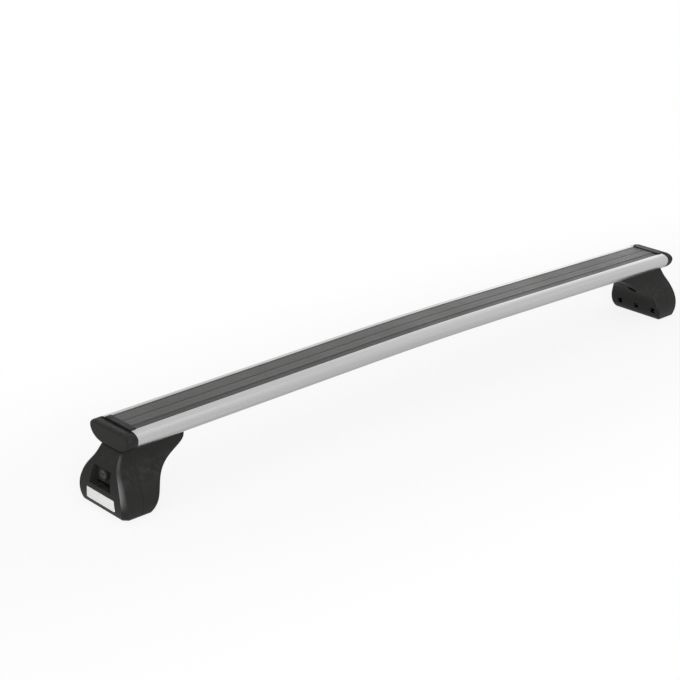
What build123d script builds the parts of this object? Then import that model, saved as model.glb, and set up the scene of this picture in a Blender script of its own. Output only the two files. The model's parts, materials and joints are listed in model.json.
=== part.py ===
import os
from math import cos, radians, sin, tan

from build123d import *

# Roof rack crossbar in millimetres: X runs along the bar, Y across it and Z up.
# The origin lies on the roof plane under the middle of the bar.

# Wing bar
wing_width = 80.0
wing_height = 27.0
wing_top_flat = 51.0
wing_bottom_flat = 28.0
tip_drop = 8.3
wing_wall = 2.2
overcut = 1.0
bar_length = 1066.0
bar_end_height = 106.25
bow_angle = 0.885
bow_arc_half = 134.0

# Channels of the wing bar
recess_depth = 1.6
slot_opening = 11.0
slot_inner_width = 21.0
slot_lip = 2.2
slot_height = 7.5
slot_wall = 1.8
channel_opening = 11.0
channel_inner_width = 21.0
channel_lip = 2.5
web_thickness = 3.4

# Rubber strips on top of the bar
strip_end_gap = 8.5
strip_fit = 0.15
strip_crown = 0.35
strip_groove = 1.2
strip_groove_depth = 0.7
rear_groove_inset = 3.0
front_step_width = 11.5
front_step_depth = 0.6
front_step_run = 1.0
cover_strip_width = 12.4
cover_slit = 1.0
cover_slit_shift = 2.6
cover_slit_depth = 2.6
barb_width = 14.0
barb_height = 2.2

# End caps
cap_proud = 0.2
cap_ridge_rise = 1.8
cap_ridge_round = 0.9
cap_rim_depth = 1.2
cap_groove_width = 4.6
cap_groove_depth = 1.4
cap_depth = 14.5
cap_round = 4.2
cap_plug_depth = 24.0
cap_plug_fit = 0.35
cap_tongue_gap = 0.5
cap_wall = 2.0

# Foot plans at six heights: reach inwards and outwards from the bar's end, half width,
# and bevel of the two outer corners; the upper two heights count from the bar's belly
hem_height = 0.0
hem_in = 14.8
hem_out = 25.0
hem_half = 44.5
hem_bevel = 6.0
bulge_height = 16.0
bulge_in = 24.6
bulge_out = 29.0
bulge_half = 48.0
bulge_bevel = 6.0
shoulder_height = 40.0
shoulder_in = 32.2
shoulder_out = 28.0
shoulder_half = 42.0
shoulder_bevel = 5.0
waist_height = 57.0
waist_in = 52.5
waist_out = 23.0
waist_half = 30.0
waist_bevel = 3.4
neck_drop = 9.75
neck_in = 79.5
neck_out = 16.0
neck_half = 23.2
neck_bevel = 2.5
crown_rise = 4.75
crown_in = 83.5
crown_out = 8.5
crown_half = 18.6
crown_bevel = 2.2
foot_corner = 4.0
hollow_corner = 2.0
foot_wall = 3.2
cradle_drop = 7.75
belly_gap = 0.35
cap_relief = 1.3
cap_relief_length = 2.2

# Saddle pad and sole pad
pad_thickness = 2.6
pad_start = 5.0
pad_length = 72.0
pad_half = 14.0
pad_fit = 0.25
sole_thickness = 3.0
sole_round = 2.7

# Openings in the inner face of the foot
window_width = 8.0
window_height = 9.0
window_pitch = 32.5
window_level = 16.0
window_shift = -3.5
oblique_length = 16.0
oblique_width = 6.0
oblique_level = 45.5
oblique_tilt = 14.0

# Outer cover with lock pocket and plate seat, set in from the foot's widest reach
seam_gap = 0.35
cover_gap = 1.0
cover_wall = 3.4
pocket_bottom = 30.6
pocket_top = 55.0
pocket_bottom_half = 21.5
pocket_top_half = 17.0
pocket_depth = 8.4
pocket_wall = 2.4
grip_slot_height = 3.4
grip_slot_half = 19.5
lock_level = 46.6
lock_diameter = 11.0
lock_length = 15.2
lock_inset = 4.8
lock_boss_wall = 2.2
lock_fit = 0.08
key_slot_width = 1.4
key_slot_length = 6.4
key_slot_depth = 2.5
tongue_thickness = 3.2
tongue_width = 6.0
tongue_reach = 12.0
badge_bottom = 8.2
badge_height = 15.4
badge_half = 28.5
badge_inset = 0.3
badge_thickness = 1.4
badge_fit = 0.15
badge_corner = 2.0

# Support bracket and clamp
bracket_sheet = 4.0
bracket_half = 14.0
bracket_gap = 0.3
base_side = 8.5
base_end = 1.6
upright_set = 1.5
flange_depth = 10.0
flange_sheet = 3.0
access_half = 9.5
access_bottom = 24.0
access_top = 55.0
plate_in = 67.0
catch_gap = 1.0
catch_hook = 5.4
catch_sheet = 3.0
catch_half = 6.0
roof_hole_diameter = 6.6
roof_hole_pitch = 50.0
roof_hole_out = 8.0
clamp_in = 37.0
clamp_diameter = 8.0
clamp_hole_diameter = 9.0
thread_fit = 0.12
head_length = 16.0
head_width = 18.0
head_height = 5.5
head_gap = 0.35
washer_diameter = 18.0
washer_thickness = 1.8
nut_flats = 13.0
nut_height = 6.8
shank_below_nut = 3.0

# Worked out from the sizes above
half_width = wing_width / 2
top_half = wing_top_flat / 2
flat_half = wing_bottom_flat / 2
bar_end = bar_length / 2
slope = tan(radians(bow_angle))
join_height = bar_end_height + slope * (bar_end - bow_arc_half)
slot_floor = -recess_depth - slot_lip - slot_height
channel_roof = slot_floor - web_thickness
belly = bar_end_height - wing_height
clamp_line = bar_end - clamp_in
belly_at_clamp = belly + slope * clamp_in
neck_height = belly - neck_drop
crown_height = belly + crown_rise
cradle_floor = belly - cradle_drop
foot_reach = bar_end + bulge_out
pocket_floor = foot_reach - pocket_depth
lock_face = foot_reach - lock_inset
lock_inner_end = lock_face - lock_length
badge_back = foot_reach - badge_inset - badge_thickness
roof_hole_line = bar_end + roof_hole_out

rising = (cos(radians(bow_angle)), 0, sin(radians(bow_angle)))
falling = (cos(radians(bow_angle)), 0, -sin(radians(bow_angle)))
start_plane = Plane(origin=(-bar_end, 0, bar_end_height), x_dir=(0, 1, 0), z_dir=rising)
end_plane = Plane(origin=(bar_end, 0, bar_end_height), x_dir=(0, 1, 0), z_dir=falling)


def bar_path(shortened):
    # Two straight halves joined by a shallow arc, shortened alike at both ends.
    reach = bar_end - shortened
    height = bar_end_height + slope * shortened
    with BuildLine(Plane.XZ) as path:
        Line((-reach, height), (-bow_arc_half, join_height))
        TangentArc((-bow_arc_half, join_height), (bow_arc_half, join_height), tangent=(rising[0], rising[2]))
        Line((bow_arc_half, join_height), (reach, height))
    return path.wires()[0]


def section_plane(shortened):
    return start_plane.offset(shortened / cos(radians(bow_angle)))


def wing_face(grow):
    # Closed wing outline, grown or shrunk evenly, with the top of the bar at zero.
    nose = half_width - top_half + grow
    flank = half_width - flat_half + grow
    drop = wing_height - tip_drop + grow
    with BuildSketch() as outline:
        with BuildLine():
            Line((top_half, grow), (-top_half, grow))
            EllipticalCenterArc((-top_half, -tip_drop), nose, tip_drop + grow, 90)
            EllipticalCenterArc((-flat_half, -tip_drop), flank, drop, 180)
            Line((-flat_half, -wing_height - grow), (flat_half, -wing_height - grow))
            EllipticalCenterArc((flat_half, -tip_drop), flank, drop, 270)
            EllipticalCenterArc((top_half, -tip_drop), nose, tip_drop + grow, 0)
        make_face()
    return outline.sketch


def block(low, high, width, mode=Mode.ADD):
    # Rectangle across the bar, centred sideways, between two heights.
    with Locations((0, (low + high) / 2)):
        Rectangle(width, high - low, mode=mode)


def side_chambers(clear):
    # The two closed hollows beside the channels, less a clearance.
    with BuildSketch() as hollows:
        add(wing_face(-wing_wall - clear))
        block(-wing_height, overcut, slot_inner_width + 2 * slot_wall + 2 * clear, Mode.SUBTRACT)
        block(-recess_depth - slot_lip - clear, overcut, wing_width, Mode.SUBTRACT)
    return hollows.sketch


with BuildPart() as bar_extrusion:
    with BuildSketch(start_plane) as wing_section:
        add(wing_face(0))
        block(-recess_depth, overcut, wing_top_flat, Mode.SUBTRACT)
        block(-recess_depth - slot_lip, 0, slot_opening, Mode.SUBTRACT)
        block(slot_floor, -recess_depth - slot_lip, slot_inner_width, Mode.SUBTRACT)
        block(-wing_height - overcut, channel_roof, channel_opening, Mode.SUBTRACT)
        block(-wing_height + channel_lip, channel_roof, channel_inner_width, Mode.SUBTRACT)
        add(side_chambers(0), mode=Mode.SUBTRACT)
    sweep(path=bar_path(0))

strip_inner = cover_strip_width / 2 + strip_fit
strip_outer = top_half - strip_fit

with BuildPart() as grip_strip_rear:
    with BuildSketch(section_plane(strip_end_gap)):
        with BuildLine():
            Polyline(
                (strip_inner, -recess_depth),
                (strip_outer, -recess_depth),
                (strip_outer, 0),
                (strip_outer - rear_groove_inset, strip_crown),
                (strip_inner, strip_crown),
                close=True,
            )
        make_face()
        with Locations((strip_outer - rear_groove_inset, strip_crown)):
            Rectangle(strip_groove, 2 * strip_groove_depth, mode=Mode.SUBTRACT)
    sweep(path=bar_path(strip_end_gap))

with BuildPart() as grip_strip_front:
    with BuildSketch(section_plane(strip_end_gap)):
        with BuildLine():
            Polyline(
                (-strip_outer, -recess_depth),
                (-strip_inner, -recess_depth),
                (-strip_inner, strip_crown),
                (-strip_outer + front_step_width, strip_crown),
                (-strip_outer + front_step_width - front_step_run, strip_crown - front_step_depth),
                (-strip_outer, strip_crown - front_step_depth),
                close=True,
            )
        make_face()
    sweep(path=bar_path(strip_end_gap))

with BuildPart() as slot_strip:
    with BuildSketch(section_plane(strip_end_gap)):
        block(-recess_depth, strip_crown, cover_strip_width)
        block(-recess_depth - slot_lip - strip_fit, -recess_depth, slot_opening - 2 * strip_fit)
        barb_top = -recess_depth - slot_lip - strip_fit
        block(barb_top - barb_height, barb_top, barb_width)
        with Locations((cover_slit_shift, strip_crown)):
            Rectangle(cover_slit, 2 * cover_slit_depth, mode=Mode.SUBTRACT)
    sweep(path=bar_path(strip_end_gap))

with BuildPart() as end_cap_right:
    with BuildSketch(end_plane):
        add(wing_face(cap_proud))
    extrude(amount=cap_depth)
    fillet(end_cap_right.faces().sort_by(Axis.X)[-1].edges(), radius=cap_round)
    with BuildSketch(end_plane.offset(cap_rim_depth)):
        block(-cap_groove_depth, cap_proud + overcut, 2 * wing_width)
    extrude(amount=cap_groove_width, mode=Mode.SUBTRACT)
    with BuildSketch(end_plane):
        add(side_chambers(cap_plug_fit))
    extrude(amount=-cap_plug_depth)
    with BuildSketch(end_plane.offset(-cap_plug_depth)):
        add(side_chambers(cap_plug_fit + cap_wall))
    extrude(amount=cap_plug_depth + cap_depth - cap_wall, mode=Mode.SUBTRACT)
    with BuildSketch(end_plane):
        tongue_top = barb_top - barb_height - cap_plug_fit
        block(slot_floor + cap_plug_fit, tongue_top, slot_inner_width - 2 * cap_plug_fit)
    extrude(amount=-cap_plug_depth)
    with BuildSketch(end_plane.offset(cap_rim_depth)):
        block(-recess_depth + cap_plug_fit, cap_ridge_rise, wing_top_flat - 2 * cap_plug_fit)
    extrude(amount=cap_tongue_gap - strip_end_gap - cap_rim_depth)
    fillet(end_cap_right.faces().sort_by(Axis.Z)[-1].edges(), radius=cap_ridge_round)


foot_plans = [
    (hem_height, hem_in, hem_out, hem_half, hem_bevel),
    (bulge_height, bulge_in, bulge_out, bulge_half, bulge_bevel),
    (shoulder_height, shoulder_in, shoulder_out, shoulder_half, shoulder_bevel),
    (waist_height, waist_in, waist_out, waist_half, waist_bevel),
    (neck_height, neck_in, neck_out, neck_half, neck_bevel),
    (crown_height, crown_in, crown_out, crown_half, crown_bevel),
]


def foot_form():
    # Bell-shaped body of the foot, lofted through plans that are rounded inside and bevelled outside.
    with BuildPart() as form:
        for height, reach_in, reach_out, half, bevel in foot_plans:
            with BuildSketch(Plane.XY.offset(height)) as plan:
                with Locations((bar_end + (reach_out - reach_in) / 2, 0)):
                    Rectangle(reach_in + reach_out, 2 * half)
                fillet(plan.vertices().group_by(Axis.X)[0], radius=foot_corner)
                chamfer(plan.vertices().group_by(Axis.X)[-1], length=bevel)
        loft()
    return form.part


def foot_hollow(wall):
    # Inside of the foot: the same plans stood in by the wall, with all corners rounded.
    with BuildPart() as hollow:
        for height, reach_in, reach_out, half, _ in foot_plans:
            with BuildSketch(Plane.XY.offset(height)):
                with Locations((bar_end + (reach_out - reach_in) / 2, 0)):
                    RectangleRounded(reach_in + reach_out - 2 * wall, 2 * half - 2 * wall, hollow_corner)
        loft()
    return hollow.part


def slab(x_low, x_high, half, z_low, z_high, mode=Mode.ADD):
    # Rectangular block centred across the bar.
    with Locations(((x_low + x_high) / 2, 0, (z_low + z_high) / 2)):
        Box(x_high - x_low, 2 * half, z_high - z_low, mode=mode)


beyond = bar_end + wing_width
above = crown_height + wing_width
cradle_length = crown_in + foot_wall
foot_outer = foot_form()

with BuildPart() as shell_cavity:
    add(foot_hollow(foot_wall))
    slab(0, beyond, wing_width, cradle_floor, above, Mode.SUBTRACT)

with BuildPart() as belly_clearance:
    # The top of the foot is flat across the bar and follows its slope.
    with BuildSketch(end_plane):
        block(-wing_height - belly_gap, overcut, 2 * wing_width)
    extrude(amount=-cradle_length)
    # Relief at the end of the cradle, so that the foot stays clear of the cap's lower edge.
    with BuildSketch(end_plane.offset(-cap_relief_length)):
        add(wing_face(cap_proud + cap_relief))
    extrude(amount=cap_relief_length + cap_depth)

with BuildPart() as cap_clearance:
    # Room under the cap that the cover needs as it is pulled level along the sloping bar.
    with BuildSketch(end_plane):
        add(wing_face(cap_proud + cover_gap))
    extrude(amount=wing_width)

pad_floor = belly_at_clamp - belly_gap - pad_thickness
pad_outer = bar_end - pad_start
pad_inner = pad_outer - pad_length

with BuildPart() as foot_shell_right:
    add(foot_outer)
    add(shell_cavity.part, mode=Mode.SUBTRACT)
    slab(bar_end, beyond, wing_width, -overcut, above, Mode.SUBTRACT)
    slab(0, beyond, wing_width, -overcut, sole_thickness, Mode.SUBTRACT)
    add(belly_clearance.part, mode=Mode.SUBTRACT)
    slab(pad_inner - pad_fit, pad_outer + pad_fit, pad_half + pad_fit, pad_floor, above, Mode.SUBTRACT)
    with Locations((clamp_line, 0, cradle_floor)):
        Cylinder(clamp_hole_diameter / 2, 2 * cradle_drop, mode=Mode.SUBTRACT)
    with BuildSketch(Plane.YZ.offset(bar_end - bulge_in - foot_wall)):
        with Locations((window_shift, window_level)):
            with GridLocations(window_pitch, 1, 3, 1):
                Rectangle(window_width, window_height)
    extrude(amount=4 * foot_wall, mode=Mode.SUBTRACT)
    with BuildSketch(Plane.YZ.offset(bar_end - waist_in)):
        with Locations((0, oblique_level)):
            SlotOverall(oblique_length, oblique_width, rotation=oblique_tilt)
    extrude(amount=waist_in - shoulder_in + foot_wall, mode=Mode.SUBTRACT)

with BuildPart() as saddle_pad_right:
    slab(pad_inner, pad_outer, pad_half, pad_floor, above)
    with BuildSketch(end_plane):
        add(wing_face(belly_gap))
    extrude(amount=-cradle_length, mode=Mode.SUBTRACT)
    slab(0, beyond, wing_width, pad_floor + 2 * pad_thickness, above + overcut, Mode.SUBTRACT)
    with Locations((clamp_line, 0, pad_floor)):
        Cylinder(clamp_hole_diameter / 2, 4 * pad_thickness, mode=Mode.SUBTRACT)

with BuildPart() as sole_pad_right:
    add(foot_outer)
    slab(0, beyond, wing_width, sole_thickness, above, Mode.SUBTRACT)
    fillet(sole_pad_right.faces().sort_by(Axis.Z)[0].edges(), radius=sole_round)
    with Locations((roof_hole_line, 0, 0)):
        with GridLocations(1, roof_hole_pitch, 1, 2):
            Cylinder(roof_hole_diameter / 2, 4 * sole_thickness, mode=Mode.SUBTRACT)


def pocket_outline(grow):
    # Trapezoid pocket around the lock, grown evenly.
    with BuildSketch() as outline:
        with BuildLine():
            Polyline(
                (-pocket_bottom_half - grow, pocket_bottom - grow),
                (pocket_bottom_half + grow, pocket_bottom - grow),
                (pocket_top_half + grow, pocket_top + grow),
                (-pocket_top_half - grow, pocket_top + grow),
                close=True,
            )
        make_face()
    return outline.sketch


with BuildPart() as pocket_housing:
    with BuildSketch(Plane.YZ.offset(pocket_floor - pocket_wall)):
        add(pocket_outline(pocket_wall))
    extrude(amount=wing_width)
    add(foot_outer, mode=Mode.INTERSECT)

with BuildPart() as outer_cover_right:
    add(foot_outer)
    add(foot_hollow(cover_wall), mode=Mode.SUBTRACT)
    slab(0, bar_end + seam_gap, wing_width, -overcut, above, Mode.SUBTRACT)
    slab(0, beyond, wing_width, -overcut, sole_thickness + seam_gap, Mode.SUBTRACT)
    add(cap_clearance.part, mode=Mode.SUBTRACT)
    add(pocket_housing.part)
    with BuildSketch(Plane.YZ.offset(pocket_floor)):
        add(pocket_outline(0))
    extrude(amount=wing_width, mode=Mode.SUBTRACT)
    with BuildSketch(Plane.YZ.offset(pocket_floor - pocket_wall)):
        with Locations((0, lock_level)):
            Circle(lock_diameter / 2 + lock_boss_wall)
    extrude(amount=lock_face - pocket_floor + pocket_wall)
    with BuildSketch(Plane.YZ.offset(bar_end)):
        with Locations((0, lock_level)):
            Circle(lock_diameter / 2 + lock_fit)
    extrude(amount=wing_width, mode=Mode.SUBTRACT)
    grip_slot_top = pocket_bottom + grip_slot_height
    slab(bar_end, pocket_floor + overcut, grip_slot_half, pocket_bottom, grip_slot_top, Mode.SUBTRACT)
    with BuildSketch(Plane.YZ.offset(badge_back)):
        with Locations((0, badge_bottom + badge_height / 2)):
            RectangleRounded(2 * badge_half, badge_height, badge_corner)
    extrude(amount=wing_width, mode=Mode.SUBTRACT)

with BuildPart() as badge_plate_right:
    with BuildSketch(Plane.YZ.offset(badge_back)):
        with Locations((0, badge_bottom + badge_height / 2)):
            RectangleRounded(2 * badge_half - 2 * badge_fit, badge_height - 2 * badge_fit, badge_corner)
    extrude(amount=badge_thickness)

with BuildPart() as lock_barrel_right:
    with BuildSketch(Plane.YZ.offset(lock_inner_end + tongue_thickness)):
        with Locations((0, lock_level)):
            Circle(lock_diameter / 2)
    extrude(amount=lock_length - tongue_thickness)
    with BuildSketch(Plane.YZ.offset(lock_face)):
        with Locations((0, lock_level)):
            Rectangle(key_slot_length, key_slot_width)
    extrude(amount=-key_slot_depth, mode=Mode.SUBTRACT)

with BuildPart() as lock_tongue_right:
    with BuildSketch(Plane.YZ.offset(lock_inner_end)):
        with Locations((0, lock_level)):
            Circle(tongue_width / 2)
        with Locations((tongue_reach / 2, lock_level)):
            Rectangle(tongue_reach, tongue_width)
    extrude(amount=tongue_thickness)

base_inner = bar_end - hem_in + foot_wall + bracket_gap
base_outer = bar_end + hem_out - cover_wall - base_end
base_half = hem_half - base_side
upright_inner = base_inner + upright_set
upright_outer = upright_inner + bracket_sheet
flange_outer = upright_inner + flange_depth
catch_level = lock_level + tongue_reach + catch_gap
catch_inner = lock_inner_end + tongue_thickness + catch_gap
catch_outer = catch_inner + catch_sheet
catch_bottom = lock_level + tongue_reach - catch_hook

with BuildPart() as support_bracket_right:
    slab(base_inner, base_outer, base_half, sole_thickness, sole_thickness + bracket_sheet)
    slab(upright_inner, upright_outer, bracket_half, sole_thickness, cradle_floor)
    slab(bar_end - plate_in, flange_outer, bracket_half, cradle_floor - bracket_sheet, cradle_floor)
    with Locations(((upright_inner + flange_outer) / 2, 0, (sole_thickness + cradle_floor) / 2)):
        with GridLocations(1, 2 * bracket_half - flange_sheet, 1, 2):
            Box(flange_depth, flange_sheet, cradle_floor - sole_thickness)
    slab(upright_inner, upright_outer, access_half, access_bottom, access_top, Mode.SUBTRACT)
    slab(upright_inner, catch_outer, catch_half, catch_level, catch_level + catch_sheet)
    slab(catch_inner, catch_outer, catch_half, catch_bottom, catch_level + catch_sheet)
    with Locations((roof_hole_line, 0, sole_thickness)):
        with GridLocations(1, roof_hole_pitch, 1, 2):
            Cylinder(roof_hole_diameter / 2, 4 * bracket_sheet, mode=Mode.SUBTRACT)
    with Locations((clamp_line, 0, cradle_floor)):
        Cylinder(clamp_hole_diameter / 2, 4 * bracket_sheet, mode=Mode.SUBTRACT)

washer_top = cradle_floor - bracket_sheet
nut_top = washer_top - washer_thickness
head_seat = belly_at_clamp + channel_lip + head_gap

with BuildPart() as clamp_bolt_right:
    with BuildSketch(Plane.XY.offset(nut_top - nut_height - shank_below_nut)):
        with Locations((clamp_line, 0)):
            Circle(clamp_diameter / 2)
    extrude(amount=head_seat - nut_top + nut_height + shank_below_nut)
    with BuildSketch(Plane.XY.offset(head_seat)):
        with Locations((clamp_line, 0)):
            Rectangle(head_length, head_width)
    extrude(amount=head_height)

with BuildPart() as clamp_washer_right:
    with BuildSketch(Plane.XY.offset(nut_top)):
        with Locations((clamp_line, 0)):
            Circle(washer_diameter / 2)
            Circle(clamp_diameter / 2 + thread_fit, mode=Mode.SUBTRACT)
    extrude(amount=washer_thickness)

with BuildPart() as clamp_nut_right:
    with BuildSketch(Plane.XY.offset(nut_top - nut_height)):
        with Locations((clamp_line, 0)):
            RegularPolygon(nut_flats / 2, 6, major_radius=False)
            Circle(clamp_diameter / 2 + thread_fit, mode=Mode.SUBTRACT)
    extrude(amount=nut_height)

os.makedirs("parts", exist_ok=True)

single_pieces = {
    "bar_extrusion": bar_extrusion,
    "grip_strip_rear": grip_strip_rear,
    "grip_strip_front": grip_strip_front,
    "slot_strip": slot_strip,
}

paired_pieces = {
    "end_cap": end_cap_right,
    "foot_shell": foot_shell_right,
    "outer_cover": outer_cover_right,
    "badge_plate": badge_plate_right,
    "lock_barrel": lock_barrel_right,
    "lock_tongue": lock_tongue_right,
    "support_bracket": support_bracket_right,
    "saddle_pad": saddle_pad_right,
    "sole_pad": sole_pad_right,
    "clamp_bolt": clamp_bolt_right,
    "clamp_washer": clamp_washer_right,
    "clamp_nut": clamp_nut_right,
}

for name, piece in single_pieces.items():
    piece.part.label = name
    export_step(piece.part, f"parts/{name}.step")

for name, piece in paired_pieces.items():
    piece.part.label = name + "_right"
    export_step(piece.part, f"parts/{name}_right.step")
    with BuildPart() as left_piece:
        mirror(piece.part, about=Plane.YZ)
    left_piece.part.label = name + "_left"
    export_step(left_piece.part, f"parts/{name}_left.step")
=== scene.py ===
import json
import math

import bpy
from mathutils import Matrix, Vector


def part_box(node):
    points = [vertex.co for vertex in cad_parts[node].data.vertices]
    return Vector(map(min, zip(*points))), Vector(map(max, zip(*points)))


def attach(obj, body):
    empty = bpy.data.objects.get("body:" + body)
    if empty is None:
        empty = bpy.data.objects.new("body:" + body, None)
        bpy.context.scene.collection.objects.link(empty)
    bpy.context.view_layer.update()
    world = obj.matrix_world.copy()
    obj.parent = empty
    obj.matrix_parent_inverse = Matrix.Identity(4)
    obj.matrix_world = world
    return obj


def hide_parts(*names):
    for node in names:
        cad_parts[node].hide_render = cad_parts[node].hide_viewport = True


# The frame and the lengths below are in metres
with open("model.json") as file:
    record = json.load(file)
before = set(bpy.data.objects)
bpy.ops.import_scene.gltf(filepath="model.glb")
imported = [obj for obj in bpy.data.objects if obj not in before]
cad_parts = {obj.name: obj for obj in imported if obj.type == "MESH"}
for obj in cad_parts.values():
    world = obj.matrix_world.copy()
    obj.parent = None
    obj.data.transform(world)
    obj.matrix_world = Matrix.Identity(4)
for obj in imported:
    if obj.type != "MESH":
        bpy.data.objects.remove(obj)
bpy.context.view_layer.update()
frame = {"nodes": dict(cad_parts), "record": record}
scene = bpy.context.scene
scene.view_settings.view_transform = "Standard"
bpy.ops.object.select_all(action="DESELECT")
print("frame loaded:", len(frame["nodes"]), "nodes")


def addNode(tree, kind, place, **values):
    node = tree.nodes.new(kind)
    node.location = place
    for name, value in values.items():
        setattr(node, name, value)
    return node


def setInputs(node, **values):
    for name, value in values.items():
        node.inputs[name.replace("_", " ")].default_value = value
    return node


def mathNode(tree, place, operation, first, second=0.0):
    node = addNode(tree, "ShaderNodeMath", place, operation=operation)
    for socket, value in zip(node.inputs, (first, second)):
        if isinstance(value, (int, float)):
            socket.default_value = value
        else:
            tree.links.new(value, socket)
    return node.outputs["Value"]


# Maps a span of values, given as low and high, to another span
def rangeNode(tree, place, value, source, target, smooth=False):
    node = addNode(tree, "ShaderNodeMapRange", place)
    node.interpolation_type = "SMOOTHSTEP" if smooth else "LINEAR"
    setInputs(node, From_Min=source[0], From_Max=source[1], To_Min=target[0], To_Max=target[1])
    tree.links.new(value, node.inputs["Value"])
    return node.outputs["Result"]


# A Mix node has its colours at inputs 6 and 7 and at output 2
def colourMix(tree, place, factor, first, second):
    node = addNode(tree, "ShaderNodeMix", place, data_type="RGBA")
    for socket, value in ((node.inputs["Factor"], factor), (node.inputs[6], first), (node.inputs[7], second)):
        if hasattr(value, "is_linked"):
            tree.links.new(value, socket)
        else:
            socket.default_value = value
    return node.outputs[2]


def splitAxes(tree, place, vector):
    axes = addNode(tree, "ShaderNodeSeparateXYZ", place)
    tree.links.new(vector, axes.inputs["Vector"])
    return axes.outputs


def noiseNode(tree, place, vector, **values):
    noise = addNode(tree, "ShaderNodeTexNoise", place)
    tree.links.new(vector, noise.inputs["Vector"])
    return setInputs(noise, **values)


def grey(level, warmth=1.0):
    return (level, level, level * warmth, 1.0)


none, full = 0.0, 1.0
rising, falling = (none, full), (full, none)
vectorInput = ("Vector", "NodeSocketVector", None)
normalInput = ("Normal", "NodeSocketVector", None)


def floatInput(name, value):
    return (name, "NodeSocketFloat", value)


def newGroup(name, inputs, outputs):
    group = bpy.data.node_groups.new(name, "ShaderNodeTree")
    for socketName, kind, value in inputs:
        socket = group.interface.new_socket(socketName, in_out="INPUT", socket_type=kind)
        if value is not None:
            socket.default_value = value
    for socketName in outputs:
        group.interface.new_socket(socketName, in_out="OUTPUT", socket_type="NodeSocketFloat")
    entry = addNode(group, "NodeGroupInput", (-900, 0))
    leave = addNode(group, "NodeGroupOutput", (700, 0))
    return group, entry, leave


# Fine pebbled grain of a moulded or rolled surface, with slow cloudy change over it
grainSet = {
    "pebbles": 1500.0, "smoothness": 0.6, "domeReach": 0.8, "finerTimes": 2.3, "finerShare": 0.45,
    "finerNoise": {"Detail": 3.0, "Roughness": 0.6}, "fleckSpan": (0.52, 0.7),
    "cloudScale": 35.0, "cloudNoise": {"Detail": 4.0, "Roughness": 0.55}, "cloudSpan": (0.3, 0.7),
}


def buildGrainGroup(plan):
    pebbleInput = floatInput("Pebbles per metre", plan["pebbles"])
    cloudInput = floatInput("Cloud scale", plan["cloudScale"])
    group, entry, leave = newGroup(
        "mouldGrain", [vectorInput, pebbleInput, cloudInput], ["Height", "Cloud", "Fleck"])
    vector, pebbles = entry.outputs["Vector"], entry.outputs["Pebbles per metre"]
    pebble = addNode(group, "ShaderNodeTexVoronoi", (-500, 200), feature="SMOOTH_F1")
    setInputs(pebble, Smoothness=plan["smoothness"])
    group.links.new(vector, pebble.inputs["Vector"])
    group.links.new(pebbles, pebble.inputs["Scale"])
    finer = noiseNode(group, (-500, -60), vector, **plan["finerNoise"])
    finerScale = mathNode(group, (-720, -100), "MULTIPLY", pebbles, plan["finerTimes"])
    group.links.new(finerScale, finer.inputs["Scale"])
    cloud = noiseNode(group, (-500, -320), vector, **plan["cloudNoise"])
    group.links.new(entry.outputs["Cloud scale"], cloud.inputs["Scale"])
    domes = rangeNode(group, (-250, 200), pebble.outputs["Distance"], (none, plan["domeReach"]), falling)
    small = mathNode(group, (-250, -40), "MULTIPLY", finer.outputs["Fac"], plan["finerShare"])
    clouded = rangeNode(group, (0, -300), cloud.outputs["Fac"], plan["cloudSpan"], rising, True)
    flecked = rangeNode(group, (0, -80), finer.outputs["Fac"], plan["fleckSpan"], rising, True)
    group.links.new(mathNode(group, (0, 120), "ADD", domes, small), leave.inputs["Height"])
    group.links.new(clouded, leave.inputs["Cloud"])
    group.links.new(flecked, leave.inputs["Fleck"])
    return group


# Long lines left by the die along an extruded length
drawnSet = {
    "lines": 900.0, "stretch": (0.004, 1.0, 1.0), "lineNoise": {"Detail": 2.0, "Roughness": 0.7},
    "streakTimes": 0.22, "streakNoise": {"Detail": 3.0, "Roughness": 0.5}, "streakSpan": (0.32, 0.68),
}


def buildDrawnGroup(plan):
    group, entry, leave = newGroup(
        "drawnLines", [vectorInput, floatInput("Lines per metre", plan["lines"])], ["Height", "Streak"])
    lines = entry.outputs["Lines per metre"]
    stretch = addNode(group, "ShaderNodeMapping", (-700, 0))
    setInputs(stretch, Scale=plan["stretch"])
    group.links.new(entry.outputs["Vector"], stretch.inputs["Vector"])
    line = noiseNode(group, (-450, 150), stretch.outputs["Vector"], **plan["lineNoise"])
    group.links.new(lines, line.inputs["Scale"])
    streak = noiseNode(group, (-450, -150), stretch.outputs["Vector"], **plan["streakNoise"])
    streakScale = mathNode(group, (-680, -250), "MULTIPLY", lines, plan["streakTimes"])
    group.links.new(streakScale, streak.inputs["Scale"])
    streaked = rangeNode(group, (-150, -150), streak.outputs["Fac"], plan["streakSpan"], rising, True)
    group.links.new(line.outputs["Fac"], leave.inputs["Height"])
    group.links.new(streaked, leave.inputs["Streak"])
    return group


# Thin dust that settles on faces that look up, broken by noise
dustSet = {
    "amount": 0.3, "facingSpan": (0.2, 0.95),
    "patchNoise": {"Scale": 140.0, "Detail": 5.0, "Roughness": 0.65}, "patchSpan": (0.35, 0.75),
}


def buildDustGroup(plan):
    group, entry, leave = newGroup(
        "settledDust", [vectorInput, normalInput, floatInput("Amount", plan["amount"])], ["Mask"])
    axes = splitAxes(group, (-650, -150), entry.outputs["Normal"])
    facing = rangeNode(group, (-420, -150), axes["Z"], plan["facingSpan"], rising, True)
    patch = noiseNode(group, (-650, 150), entry.outputs["Vector"], **plan["patchNoise"])
    broken = rangeNode(group, (-420, 150), patch.outputs["Fac"], plan["patchSpan"], rising, True)
    both = mathNode(group, (-180, 0), "MULTIPLY", facing, broken)
    dusty = mathNode(group, (50, 0), "MULTIPLY", both, entry.outputs["Amount"])
    group.links.new(dusty, leave.inputs["Mask"])
    return group


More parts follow.
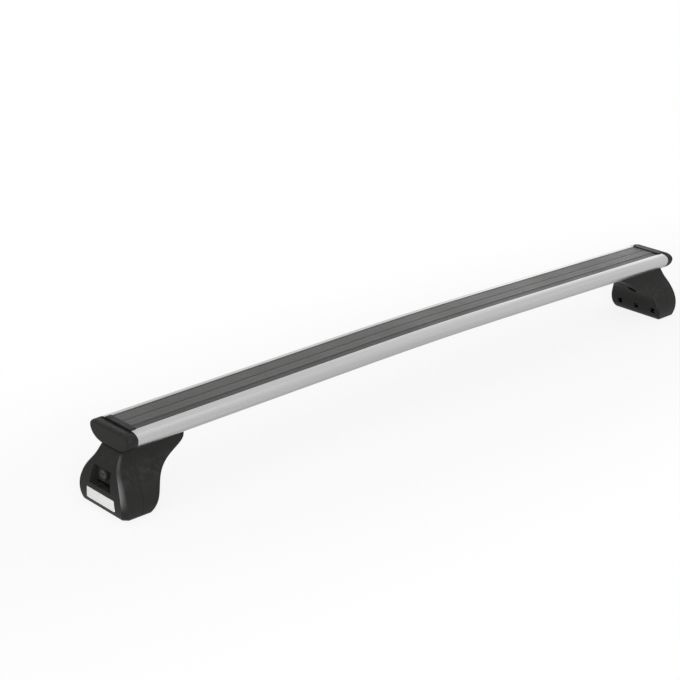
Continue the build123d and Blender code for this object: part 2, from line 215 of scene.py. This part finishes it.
# Painted highlight on the bevels at the feet's outer corners, lightest beside the cover's face and around the
# bulge.
# A bevel's middle is given by its height and by how much farther it lies across the bar than past its end.
paintedHighlightSet = {
    "share": 0.5, "barEnd": 0.533, "fullHeight": 0.08, "fullShift": 0.02,
    "middle": ((0.0, 0.0195), (0.016, 0.019), (0.040, 0.014), (0.057, 0.007), (0.08, 0.0072)),
    "cornerSpan": (0.2, 0.42), "fadeSpan": (-0.005, 0.006), "fadeLeft": 0.12,
    "lowerSpan": (0.012, 0.032), "upperSpan": (0.045, 0.066), "upperLeft": 0.55, "barSpan": (0.072, 0.078),
}


def buildPaintedHighlightGroup(plan):
    group, entry, leave = newGroup(
        "cornerPaintedHighlight", [vectorInput, normalInput, floatInput("Share", plan["share"])], ["Mask"])
    axes = splitAxes(group, (-650, -150), entry.outputs["Normal"])
    slanted = mathNode(group, (-450, -150), "MULTIPLY", axes["X"], axes["Y"])
    slanted = mathNode(group, (-250, -150), "ABSOLUTE", slanted)
    corner = rangeNode(group, (-50, -150), slanted, plan["cornerSpan"], rising, True)
    place = splitAxes(group, (-650, 400), entry.outputs["Vector"])
    along = mathNode(group, (-450, 600), "ABSOLUTE", place["X"])
    reach = mathNode(group, (-250, 600), "SUBTRACT", along, plan["barEnd"])
    across = mathNode(group, (-450, 450), "ABSOLUTE", place["Y"])
    shift = mathNode(group, (-50, 550), "SUBTRACT", across, reach)
    ramp = addNode(group, "ShaderNodeValToRGB", (-250, 300))
    stops = ramp.color_ramp.elements
    while len(stops) < len(plan["middle"]):
        stops.new(0.5)  # placed by the next loop
    for stop, (height, middle) in zip(stops, plan["middle"]):
        stop.position = height / plan["fullHeight"]
        stop.color = grey(middle / plan["fullShift"])
    rise = mathNode(group, (-450, 300), "DIVIDE", place["Z"], plan["fullHeight"])
    group.links.new(rise, ramp.inputs["Fac"])
    middle = mathNode(group, (50, 300), "MULTIPLY", ramp.outputs["Color"], plan["fullShift"])
    offset = mathNode(group, (150, 500), "SUBTRACT", shift, middle)
    fade = rangeNode(group, (250, 500), offset, plan["fadeSpan"], (full, plan["fadeLeft"]), True)
    lower = rangeNode(group, (-50, 900), place["Z"], plan["lowerSpan"], rising, True)
    upper = rangeNode(group, (-50, 1100), place["Z"], plan["upperSpan"], (full, plan["upperLeft"]), True)
    under = rangeNode(group, (-50, 1300), place["Z"], plan["barSpan"], falling, True)
    mask = lower
    for part in (upper, under, corner, fade, entry.outputs["Share"]):
        mask = mathNode(group, (450, 0), "MULTIPLY", mask, part)
    group.links.new(mask, leave.inputs["Mask"])
    return group


grainGroup = buildGrainGroup(grainSet)
drawnGroup = buildDrawnGroup(drawnSet)
dustGroup = buildDustGroup(dustSet)
paintedHighlightGroup = buildPaintedHighlightGroup(paintedHighlightSet)
print("surface groups built")


def startMaterial(name):
    material = bpy.data.materials.new(name)
    material.use_nodes = True
    tree = material.node_tree
    tree.nodes.clear()
    output = addNode(tree, "ShaderNodeOutputMaterial", (900, 0))
    shader = addNode(tree, "ShaderNodeBsdfPrincipled", (600, 0))
    tree.links.new(shader.outputs["BSDF"], output.inputs["Surface"])
    place = addNode(tree, "ShaderNodeTexCoord", (-1100, 0))
    return material, tree, shader, place.outputs["Object"]


def useGroup(tree, group, place, vector, **values):
    node = addNode(tree, "ShaderNodeGroup", place, node_tree=group)
    tree.links.new(vector, node.inputs["Vector"])
    return setInputs(node, **values)


def faceNormal(tree, place):
    return addNode(tree, "ShaderNodeNewGeometry", place).outputs["Normal"]


def faceMask(tree, group, place, vector, **values):
    mask = useGroup(tree, group, place, vector, **values)
    tree.links.new(faceNormal(tree, (place[0] - 400, place[1])), mask.inputs["Normal"])
    return mask.outputs["Mask"]


def useGrain(tree, plan, vector):
    scales = {"Pebbles_per_metre": plan["pebbles"], "Cloud_scale": plan["cloudScale"]}
    return useGroup(tree, grainGroup, (-700, 100), vector, **scales).outputs


# Colour, roughness that follows a mask, and bump of one finish
def dressShader(tree, shader, plan, tone, roughMask, height):
    tree.links.new(tone, shader.inputs["Base Color"])
    rough = rangeNode(tree, (250, -50), roughMask, rising, plan["roughSpan"])
    tree.links.new(rough, shader.inputs["Roughness"])
    bump = addNode(tree, "ShaderNodeBump", (350, -350))
    setInputs(bump, Strength=plan["bump"], Distance=plan["bumpDepth"])
    tree.links.new(height, bump.inputs["Height"])
    tree.links.new(bump.outputs["Normal"], shader.inputs["Normal"])


# Clear anodised aluminium of the wing bar, with painted shade on its downward faces
barFinish = {
    "base": 0.49, "streakBase": 0.54, "roughSpan": (0.38, 0.30),
    "lines": 900.0, "bump": 0.10, "bumpDepth": 0.0002,
    "speckSize": 300.0, "speckTone": 0.40, "speckShare": 0.4, "underShade": 0.33, "underShadeSpan": (-0.8, -0.1),
}


def makeBarFinish(plan):
    material, tree, shader, vector = startMaterial("anodisedAluminium")
    lines = useGroup(tree, drawnGroup, (-700, 100), vector, Lines_per_metre=plan["lines"]).outputs
    tone = colourMix(tree, (100, 200), lines["Streak"], grey(plan["base"]), grey(plan["streakBase"]))
    specks = useGroup(tree, grainGroup, (-700, 800), vector, Pebbles_per_metre=plan["speckSize"])
    speckled = mathNode(tree, (-300, 800), "MULTIPLY", specks.outputs["Fleck"], plan["speckShare"])
    tone = colourMix(tree, (200, 500), speckled, tone, grey(plan["speckTone"]))
    # Painted shade: a darker tone mixed onto faces that look down
    axes = splitAxes(tree, (-500, 500), faceNormal(tree, (-700, 500)))
    shadedUnder = rangeNode(tree, (-300, 500), axes["Z"], plan["underShadeSpan"], falling, True)
    tone = colourMix(tree, (300, 300), shadedUnder, tone, grey(plan["underShade"]))
    dressShader(tree, shader, plan, tone, lines["Streak"], lines["Height"])
    setInputs(shader, Metallic=full)
    return material


# Dark grey rubber of the top strips, in bands across the bar, with fine ribs along it
stripFinish = {
    "base": 0.038, "lightBand": 0.042, "darkBand": 0.006, "warmth": 0.94,
    "lightFrom": -0.0135, "lightTo": -0.0002, "darkEdge": -0.0139, "blend": 0.0008,
    "pebbles": 2600.0, "cloudScale": 12.0, "cloudTone": 0.13, "cloudShare": 0.08,
    "ribsPerMetre": 900.0, "ribShare": 0.8, "bump": 0.25, "bumpDepth": 0.0002,
    "roughSpan": (0.38, 0.48), "specular": 0.46,
}


def makeStripFinish(plan):
    material, tree, shader, vector = startMaterial("stripRubber")
    across = splitAxes(tree, (-900, 300), vector)["Y"]
    lightFrom, lightTo, darkEdge, blend = plan["lightFrom"], plan["lightTo"], plan["darkEdge"], plan["blend"]
    enter = rangeNode(tree, (-650, 420), across, (lightFrom - blend, lightFrom), rising)
    leave = rangeNode(tree, (-650, 220), across, (lightTo, lightTo + blend), falling)
    light = mathNode(tree, (-400, 320), "MULTIPLY", enter, leave)
    dark = rangeNode(tree, (-400, 120), across, (darkEdge - blend, darkEdge), falling)
    plainTone, lightTone = grey(plan["base"], plan["warmth"]), grey(plan["lightBand"], plan["warmth"])
    tone = colourMix(tree, (-150, 320), light, plainTone, lightTone)
    tone = colourMix(tree, (50, 250), dark, tone, grey(plan["darkBand"]))
    grain = useGrain(tree, plan, vector)
    clouded = rangeNode(tree, (50, 0), grain["Cloud"], rising, (none, plan["cloudShare"]))
    tone = colourMix(tree, (250, 250), clouded, tone, grey(plan["cloudTone"], plan["warmth"]))
    turns = mathNode(tree, (-850, -420), "MULTIPLY", across, plan["ribsPerMetre"] * 2 * math.pi)
    waves = mathNode(tree, (-650, -420), "SINE", turns)
    ribs = mathNode(tree, (-400, -420), "MULTIPLY", waves, plan["ribShare"])
    height = mathNode(tree, (-100, -350), "ADD", ribs, grain["Height"])
    dressShader(tree, shader, plan, tone, grain["Cloud"], height)
    setInputs(shader, Specular_IOR_Level=plan["specular"])
    return material


# Black moulded plastic of feet, covers and caps, with a painted highlight on the feet's corner bevels
plasticFinish = {
    "base": (0.0157, 0.0157, 0.0150, 1.0), "worn": (0.0182, 0.0182, 0.0174, 1.0),
    "roughSpan": (0.36, 0.46), "specular": 0.08,
    "pebbles": 1700.0, "cloudScale": 22.0, "bump": 0.10, "bumpDepth": 0.0002,
    "dust": 0.12, "dustTone": 0.2, "highlightTone": 0.14, "highlightShare": 0.95,
}


def makePlasticFinish(plan):
    material, tree, shader, vector = startMaterial("mouldedBlack")
    grain = useGrain(tree, plan, vector)
    tone = colourMix(tree, (0, 250), grain["Cloud"], plan["base"], plan["worn"])
    # Painted highlight: a lighter tone mixed onto the corner bevels by the bevel mask
    highlighted = faceMask(tree, paintedHighlightGroup, (-400, 500), vector, Share=plan["highlightShare"])
    tone = colourMix(tree, (130, 350), highlighted, tone, grey(plan["highlightTone"]))
    dusty = faceMask(tree, dustGroup, (-700, -400), vector, Amount=plan["dust"])
    tone = colourMix(tree, (250, 250), dusty, tone, grey(plan["dustTone"]))
    dressShader(tree, shader, plan, tone, grain["Cloud"], grain["Height"])
    setInputs(shader, Specular_IOR_Level=plan["specular"])
    return material


# Matt black rubber of the saddle and sole pads
padFinish = {
    "base": 0.018, "bloom": 0.032, "roughSpan": (0.7, 0.82),
    "pebbles": 1200.0, "cloudScale": 60.0, "bump": 0.2, "bumpDepth": 0.0003,
}


def makePadFinish(plan):
    material, tree, shader, vector = startMaterial("padRubber")
    grain = useGrain(tree, plan, vector)
    tone = colourMix(tree, (100, 250), grain["Cloud"], grey(plan["base"]), grey(plan["bloom"]))
    dressShader(tree, shader, plan, tone, grain["Fleck"], grain["Height"])
    return material


# Bright zinc plate on the bracket, the clamp and the tongue
zincFinish = {
    "base": (0.52, 0.54, 0.57, 1.0), "spangle": (0.66, 0.67, 0.66, 1.0), "roughSpan": (0.24, 0.42),
    "pebbles": 700.0, "cloudScale": 90.0, "bump": 0.05, "bumpDepth": 0.0001,
}


def makeZincFinish(plan):
    material, tree, shader, vector = startMaterial("zincPlate")
    grain = useGrain(tree, plan, vector)
    tone = colourMix(tree, (100, 250), grain["Cloud"], plan["base"], plan["spangle"])
    dressShader(tree, shader, plan, tone, grain["Cloud"], grain["Height"])
    setInputs(shader, Metallic=full)
    return material


# Dark satin metal of the lock plug
lockFinish = {
    "base": 0.045, "brushed": 0.085, "roughSpan": (0.36, 0.51),
    "pebbles": 2400.0, "cloudScale": 180.0, "bump": 0.05, "bumpDepth": 0.0001,
}


def makeLockFinish(plan):
    material, tree, shader, vector = startMaterial("lockMetal")
    grain = useGrain(tree, plan, vector)
    tone = colourMix(tree, (100, 250), grain["Cloud"], grey(plan["base"]), grey(plan["brushed"]))
    dressShader(tree, shader, plan, tone, grain["Fleck"], grain["Height"])
    setInputs(shader, Metallic=full)
    return material


# Blank white plate
plateFinish = {
    "base": (0.78, 0.78, 0.775, 1.0), "shade": (0.70, 0.70, 0.69, 1.0), "shadeShare": 0.4,
    "roughSpan": (0.28, 0.36), "pebbles": 900.0, "cloudScale": 45.0, "bump": 0.03, "bumpDepth": 0.0001,
}


def makePlateFinish(plan):
    material, tree, shader, vector = startMaterial("blankPlate")
    grain = useGrain(tree, plan, vector)
    shaded = rangeNode(tree, (-150, 250), grain["Cloud"], rising, (none, plan["shadeShare"]))
    tone = colourMix(tree, (100, 250), shaded, plan["base"], plan["shade"])
    dressShader(tree, shader, plan, tone, grain["Cloud"], grain["Height"])
    return material


finishes = {
    "anodised_aluminium": makeBarFinish(barFinish),
    "strip_rubber": makeStripFinish(stripFinish),
    "black_plastic": makePlasticFinish(plasticFinish),
    "pad_rubber": makePadFinish(padFinish),
    "zinc_steel": makeZincFinish(zincFinish),
    "lock_metal": makeLockFinish(lockFinish),
    "badge_plastic": makePlateFinish(plateFinish),
}
for part in frame["record"]["subparts"]:
    node = frame["nodes"][part["node"]]
    node.data.materials.clear()
    node.data.materials.append(finishes[part["material_slot"]])

# Small pieces are modelled here with threads, chamfers and rounded edges, and stand for their plain solids
meshSet = {"weld": 5e-6, "level": 1e-6, "cornerSteps": 5, "rimSteps": 3, "smoothAngle": 35.0, "round": 0.5}
alongBar, upright = 0, 2  # axes of a block


def nodeSpan(node):
    low, high = (Vector(corner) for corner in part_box(node))
    return (low + high) / 2, high - low


def makeActive(piece):
    bpy.ops.object.select_all(action="DESELECT")
    piece.select_set(True)
    bpy.context.view_layer.objects.active = piece


def startEdit(piece, mode):
    makeActive(piece)
    bpy.context.tool_settings.mesh_select_mode = tuple(kind == mode for kind in ("VERT", "EDGE", "FACE"))
    bpy.ops.object.mode_set(mode="EDIT")
    bpy.ops.mesh.select_all(action="DESELECT")


def endEdit():
    bpy.ops.object.mode_set(mode="OBJECT")


def pickFaces(piece, wanted):
    startEdit(piece, "FACE")
    endEdit()
    for face in piece.data.polygons:
        face.select = wanted(face)
    bpy.ops.object.mode_set(mode="EDIT")


def pickEdges(piece, wanted):
    startEdit(piece, "EDGE")
    endEdit()
    points = piece.data.vertices
    for edge in piece.data.edges:
        edge.select = wanted(points[edge.vertices[0]].co, points[edge.vertices[1]].co)
    bpy.ops.object.mode_set(mode="EDIT")


def roundEdges(width, steps):
    bpy.ops.mesh.bevel(offset=width, segments=steps, profile=meshSet["round"], affect="EDGES")
    endEdit()


def applyPlace():
    bpy.ops.object.transform_apply(location=True, rotation=True, scale=True)
    return bpy.context.object


def addRod(sides, radius, length, centre, turn=(0, 0, 0)):
    bpy.ops.object.select_all(action="DESELECT")
    bpy.ops.mesh.primitive_cylinder_add(
        vertices=sides, radius=radius, depth=length, location=centre, rotation=turn)
    return applyPlace()


# Joins or cuts with a second shape, and welds the slivers that this leaves
def cutWith(piece, tool, operation):
    makeActive(piece)
    cut = piece.modifiers.new("cut", "BOOLEAN")
    cut.operation = operation
    cut.solver = "EXACT"
    cut.object = tool
    bpy.ops.object.modifier_apply(modifier=cut.name)
    bpy.data.objects.remove(tool, do_unlink=True)
    startEdit(piece, "VERT")
    bpy.ops.mesh.select_all(action="SELECT")
    bpy.ops.mesh.remove_doubles(threshold=meshSet["weld"])
    bpy.ops.mesh.dissolve_degenerate(threshold=meshSet["weld"])
    endEdit()


# The sides of a rod have four corners each, its end faces more
def isCap(face):
    return len(face.vertices) > 4


# Round rod with a flat cone at both ends, standing on Z or lying along X
def chamferedRod(centre, radius, length, run, rise, sides, lying=False):
    rod = addRod(sides, radius, length - 2 * rise, centre, (0, math.pi / 2 if lying else 0, 0))
    pickFaces(rod, isCap)
    bpy.ops.mesh.inset(thickness=run, depth=rise, use_individual=True)
    endEdit()
    return rod


# Block with its edges along one axis rounded, and then the rims at its ends eased
def roundedBlock(centre, span, axis, corner, rim, rimEnds=(-1, 1)):
    bpy.ops.object.select_all(action="DESELECT")
    bpy.ops.mesh.primitive_cube_add(size=1.0, location=centre, scale=span)
    block = applyPlace()
    pickEdges(block, lambda first, second: abs(first[axis] - second[axis]) > span[axis] / 2)
    roundEdges(corner, meshSet["cornerSteps"])
    ends = [centre[axis] + end * span[axis] / 2 for end in rimEnds]

    def onRim(first, second):
        return any(abs(first[axis] - end) + abs(second[axis] - end) < meshSet["level"] for end in ends)

    pickEdges(block, onRim)
    roundEdges(rim, meshSet["rimSteps"])
    return block


# M8 thread, its flats and flanks as shares of the pitch
threadSet = {
    "root": 0.00332, "crest": 0.00398, "pitch": 0.00125, "start": 0.050, "turns": 30, "steps": 32,
    "rootFlat": 0.25, "flank": 0.3125, "crestFlat": 0.125, "seed": 0.001, "weld": 1e-6, "cutWithin": 1e-7,
}


# Upright thread between two heights, a little wider where it is cut from a nut
def threadRod(plan, centre, low, high, grow=0.0):
    bpy.ops.object.select_all(action="DESELECT")
    bpy.ops.mesh.primitive_plane_add(size=plan["seed"], location=(0, 0, 0))
    rod = bpy.context.object
    startEdit(rod, "VERT")
    bpy.ops.mesh.select_all(action="SELECT")
    bpy.ops.mesh.merge(type="CENTER")
    bpy.ops.transform.translate(value=(plan["root"] + grow, 0, plan["start"]))
    depth = plan["crest"] - plan["root"]
    profile = ((0, plan["rootFlat"]), (depth, plan["flank"]), (0, plan["crestFlat"]), (-depth, plan["flank"]))
    for step, share in profile:
        bpy.ops.mesh.extrude_vertices_move(TRANSFORM_OT_translate={"value": (step, 0, share * plan["pitch"])})
    endEdit()
    wind = rod.modifiers.new("wind", "SCREW")
    wind.screw_offset = plan["pitch"]
    wind.iterations = plan["turns"]
    wind.steps = wind.render_steps = plan["steps"]
    bpy.ops.object.modifier_apply(modifier=wind.name)
    bpy.ops.object.mode_set(mode="EDIT")
    bpy.ops.mesh.select_all(action="SELECT")
    bpy.ops.mesh.remove_doubles(threshold=plan["weld"])
    for height, under in ((low, True), (high, False)):
        bpy.ops.mesh.select_all(action="SELECT")
        bpy.ops.mesh.bisect(
            plane_co=(0, 0, height), plane_no=(0, 0, 1), use_fill=True,
            clear_inner=under, clear_outer=not under, threshold=plan["cutWithin"])
    bpy.ops.mesh.select_all(action="SELECT")
    bpy.ops.mesh.normals_make_consistent(inside=False)
    bpy.ops.transform.translate(value=(centre[0], centre[1], 0))
    endEdit()
    return rod


# The left piece is copied to the right end, turned half round about the middle of the bar
def finishPair(piece, name, node, body, slot):
    makeActive(piece)
    bpy.ops.object.shade_smooth_by_angle(angle=math.radians(meshSet["smoothAngle"]))
    piece.data.materials.clear()
    piece.data.materials.append(finishes[slot])
    bpy.ops.object.duplicate()
    bpy.context.object.rotation_euler.z = math.pi
    copy = applyPlace()
    for half, side in ((piece, "_left"), (copy, "_right")):
        half.name = name + side
        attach(half, body + side)
        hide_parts(node + side)


# T-bolt: threaded shank with a pointed tip, plain neck and eased head
boltSet = {
    "tipRun": 0.0008, "tipRise": 0.0008, "tipSides": 48, "crestEase": 0.00002,
    "neck": 0.003, "neckRadius": 0.0037, "neckBuried": 0.0017,
    "neckRun": 0.0003, "neckRise": 0.0004, "neckSides": 40,
    "headCorner": 0.0012, "headRim": 0.0005, "headHeight": 0.0055,
}


def makeClampBolts(plan):
    centre, span = nodeSpan("clamp_bolt_left")
    low, high = centre.z - span.z / 2, centre.z + span.z / 2
    seat = high - plan["headHeight"]
    shank = threadRod(threadSet, centre, low - threadSet["pitch"], seat - plan["neck"])
    middle = (centre.x, centre.y, (low + seat) / 2)
    reach = threadSet["crest"] + plan["crestEase"]
    envelope = chamferedRod(middle, reach, seat - low, plan["tipRun"], plan["tipRise"], plan["tipSides"])
    cutWith(shank, envelope, "INTERSECT")
    middle = (centre.x, centre.y, seat - plan["neck"] / 2)
    length = plan["neck"] + plan["neckBuried"]
    neck = chamferedRod(
        middle, plan["neckRadius"], length, plan["neckRun"], plan["neckRise"], plan["neckSides"])
    cutWith(shank, neck, "UNION")
    middle = Vector((centre.x, centre.y, high - plan["headHeight"] / 2))
    headSpan = Vector((span.x, span.y, plan["headHeight"]))
    head = roundedBlock(middle, headSpan, upright, plan["headCorner"], plan["headRim"])
    cutWith(shank, head, "UNION")
    finishPair(shank, "threadedBolt", "clamp_bolt", "foot", "zinc_steel")


# Hexagon nut with coned faces and a threaded bore
nutSet = {"flats": 6, "cone": 0.0011, "coneRise": 0.00062, "past": 0.0002, "sides": 64, "clear": 0.00006}


def makeClampNuts(plan):
    centre, span = nodeSpan("clamp_nut_left")
    corner = max(span.x, span.y) / 2
    turn = math.pi / plan["flats"] if span.x > span.y else 0
    nut = addRod(plan["flats"], corner, span.z, centre, (0, 0, turn))
    envelope = chamferedRod(
        centre, corner + plan["past"], span.z, plan["cone"] + plan["past"], plan["coneRise"], plan["sides"])
    cutWith(nut, envelope, "INTERSECT")
    bore = threadRod(threadSet, centre, centre.z - span.z, centre.z + span.z, plan["clear"])
    cutWith(nut, bore, "DIFFERENCE")
    finishPair(nut, "hexNut", "clamp_nut", "foot", "zinc_steel")


# Flat washer with eased rims
washerSet = {"hole": 0.00412, "rim": 0.0003, "rimSteps": 2, "sides": 64}


def makeClampWashers(plan):
    centre, span = nodeSpan("clamp_washer_left")
    radius = span.x / 2
    washer = addRod(plan["sides"], radius, span.z, centre)
    pickFaces(washer, isCap)
    bpy.ops.mesh.inset(thickness=radius - plan["hole"], use_individual=True)
    bpy.ops.mesh.bridge_edge_loops()
    endEdit()

    def onRing(first, second):
        change = (first - centre).xy.length - (second - centre).xy.length
        return abs(first.z - second.z) < meshSet["level"] and abs(change) < meshSet["level"]

    pickEdges(washer, onRing)
    roundEdges(plan["rim"], plan["rimSteps"])
    finishPair(washer, "flatWasher", "clamp_washer", "foot", "zinc_steel")


# Lock plug with a raised ring, a sunk face and a key slot
lockSet = {
    "edgeRun": 0.0004, "edgeRise": 0.0003, "ring": 0.0008, "step": 0.00015, "sunk": 0.0004, "sides": 64,
    "keyLong": 0.0064, "keyWide": 0.0014, "keyDeep": 0.0025, "keyRound": 0.0004, "keyRim": 0.0001,
    "within": 1e-5,
}


def makeLockPlugs(plan):
    centre, span = nodeSpan("lock_barrel_left")
    front = centre.x - span.x / 2
    plug = chamferedRod(
        centre, span.y / 2, span.x, plan["edgeRun"], plan["edgeRise"], plan["sides"], lying=True)
    pickFaces(plug, lambda face: isCap(face) and abs(face.center.x - front) < plan["within"])
    bpy.ops.mesh.inset(thickness=plan["ring"])
    bpy.ops.mesh.inset(thickness=plan["step"], depth=-plan["sunk"])
    endEdit()
    keyPlace = Vector((front, centre.y, centre.z))
    keySpan = Vector((2 * plan["keyDeep"], plan["keyLong"], plan["keyWide"]))
    key = roundedBlock(keyPlace, keySpan, alongBar, plan["keyRound"], plan["keyRim"])
    cutWith(plug, key, "DIFFERENCE")
    finishPair(plug, "lockPlug", "lock_barrel", "lock", "lock_metal")


# Plate with rounded corners and an eased front rim
plateSet = {"corner": 0.002, "rim": 0.0004}


def makeBlankPlates(plan):
    centre, span = nodeSpan("badge_plate_left")
    plate = roundedBlock(centre, span, alongBar, plan["corner"], plan["rim"], rimEnds=(-1,))
    finishPair(plate, "blankPlate", "badge_plate", "cover", "badge_plastic")


makeClampBolts(boltSet)
makeClampNuts(nutSet)
makeClampWashers(washerSet)
makeLockPlugs(lockSet)
makeBlankPlates(plateSet)
print("clamps, locks and plates modelled")


# Full for rays from the camera, mirrored ones and ones through glass, and none for the rest
def seenRays(tree, x, y):
    ray = addNode(tree, "ShaderNodeLightPath", (x, y))
    seen = mathNode(tree, (x + 300, y), "MAXIMUM", ray.outputs["Is Camera Ray"], ray.outputs["Is Glossy Ray"])
    return mathNode(tree, (x + 500, y), "MAXIMUM", seen, ray.outputs["Is Transmission Ray"])


# Floor that reads as the white ground and still takes the shadow
floorSet = {
    "size": 30.0, "under": 0.0004, "colour": 0.86, "rough": 0.9, "specular": 0.1,
    "paperNoise": {"Scale": 3.0, "Detail": 3.0}, "paperShade": 0.98,
    "squeeze": (0.25, 1.0, 1.0), "reachSpan": (0.14, 0.46), "shownSpan": (0.85, 1.0), "strength": 1.0,
}


def makeFloor(plan):
    bpy.ops.object.select_all(action="DESELECT")
    bpy.ops.mesh.primitive_plane_add(size=plan["size"], location=(0, 0, -plan["under"]))
    floor = applyPlace()
    floor.name = "studioFloor"
    material, tree, shader, vector = startMaterial("studioGround")
    paper = noiseNode(tree, (-700, 200), vector, **plan["paperNoise"])
    shade = grey(plan["colour"] * plan["paperShade"])
    tone = colourMix(tree, (-300, 200), paper.outputs["Fac"], grey(plan["colour"]), shade)
    tree.links.new(tone, shader.inputs["Base Color"])
    setInputs(shader, Roughness=plan["rough"], Specular_IOR_Level=plan["specular"])
    flat = addNode(tree, "ShaderNodeMapping", (-800, 950))
    setInputs(flat, Scale=plan["squeeze"])
    tree.links.new(vector, flat.inputs["Vector"])
    reach = addNode(tree, "ShaderNodeVectorMath", (-600, 950), operation="LENGTH")
    tree.links.new(flat.outputs["Vector"], reach.inputs[0])
    pale = rangeNode(tree, (-300, 950), reach.outputs["Value"], plan["reachSpan"], plan["shownSpan"], True)
    share = mathNode(tree, (400, 700), "MULTIPLY", seenRays(tree, -300, 700), pale)
    glow = addNode(tree, "ShaderNodeEmission", (400, 450))
    setInputs(glow, Strength=plan["strength"])
    blend = addNode(tree, "ShaderNodeMixShader", (750, 400))
    tree.links.new(share, blend.inputs["Fac"])
    tree.links.new(shader.outputs["BSDF"], blend.inputs[1])
    tree.links.new(glow.outputs["Emission"], blend.inputs[2])
    output = [node for node in tree.nodes if node.type == "OUTPUT_MATERIAL"][0]
    tree.links.new(blend.outputs["Shader"], output.inputs["Surface"])
    floor.data.materials.append(material)


makeFloor(floorSet)

# Even sky for the light, plain white where it is seen or mirrored
skySet = {"light": 0.55, "seen": 1.0}


def makeSky(plan):
    sky = bpy.data.worlds.new("studioSky")
    scene.world = sky
    sky.use_nodes = True
    tree = sky.node_tree
    tree.nodes.clear()
    output = addNode(tree, "ShaderNodeOutputWorld", (500, 0))
    lit = addNode(tree, "ShaderNodeBackground", (100, 0))
    setInputs(lit, Color=grey(full), Strength=plan["light"])
    shown = addNode(tree, "ShaderNodeBackground", (100, -150))
    setInputs(shown, Color=grey(full), Strength=plan["seen"])
    blend = addNode(tree, "ShaderNodeMixShader", (300, 0))
    tree.links.new(seenRays(tree, -600, 200), blend.inputs["Fac"])
    tree.links.new(lit.outputs["Background"], blend.inputs[1])
    tree.links.new(shown.outputs["Background"], blend.inputs[2])
    tree.links.new(blend.outputs["Shader"], output.inputs["Surface"])


makeSky(skySet)

# Soft boxes: one beside the camera, one low for the bevels, one behind the far end and one overhead
lampSet = {
    "cameraBox": {"place": (-1.9, -3.0, 1.0), "aim": (0.0, 0.0, 0.08), "size": (1.6, 1.6), "power": 58.0},
    "lowBox": {"place": (-2.1, -2.75, 0.42), "aim": (-0.5, 0.0, 0.06), "size": (1.3, 0.66), "power": 26.0},
    "farBox": {"place": (3.9, 2.3, 1.35), "aim": (0.4, 0.0, 0.1), "size": (2.2, 2.2), "power": 9.0},
    "topBox": {"place": (-0.6, -0.6, 3.4), "aim": (0.0, 0.0, 0.1), "size": (3.6, 3.6), "power": 20.0},
}


def makeLamp(name, plan):
    light = bpy.data.lights.new(name, "AREA")
    light.shape = "RECTANGLE"
    light.size, light.size_y = plan["size"]
    light.energy = plan["power"]
    lamp = bpy.data.objects.new(name, light)
    lamp.location = plan["place"]
    lamp.rotation_euler = (Vector(plan["aim"]) - Vector(plan["place"])).to_track_quat("-Z", "Y").to_euler()
    scene.collection.objects.link(lamp)


for lampName, lampPlan in lampSet.items():
    makeLamp(lampName, lampPlan)
print("floor, sky and", len(lampSet), "lamps set")

# Camera fitted to the photo; angles in degrees, lens and sensor in millimetres
cameraSet = {
    "place": (-1.5387, -1.40575, 0.89067), "azimuth": -44.31, "elevation": 21.36, "roll": 1.71,
    "lens": 83.11, "sensor": 36.0, "sight": 60.0,
}


def makeCamera(plan):
    camera = bpy.data.cameras.new("photoCamera")
    camera.lens = plan["lens"]
    camera.sensor_width = plan["sensor"]
    camera.clip_end = plan["sight"]
    view = bpy.data.objects.new("photoCamera", camera)
    scene.collection.objects.link(view)
    turn = math.radians(plan["azimuth"])
    lift = math.radians(plan["elevation"])
    back = Vector((math.sin(turn) * math.cos(lift), -math.cos(turn) * math.cos(lift), math.sin(lift)))
    right = (-back).cross(Vector((0, 0, 1))).normalized()
    up = right.cross(-back)
    roll = math.radians(plan["roll"])
    rightRolled = right * math.cos(roll) + up * math.sin(roll)
    upRolled = up * math.cos(roll) - right * math.sin(roll)
    axes = Matrix((rightRolled, upRolled, back)).transposed().to_4x4()
    view.matrix_world = Matrix.Translation(plan["place"]) @ axes
    scene.camera = view


makeCamera(cameraSet)
print("camera set")
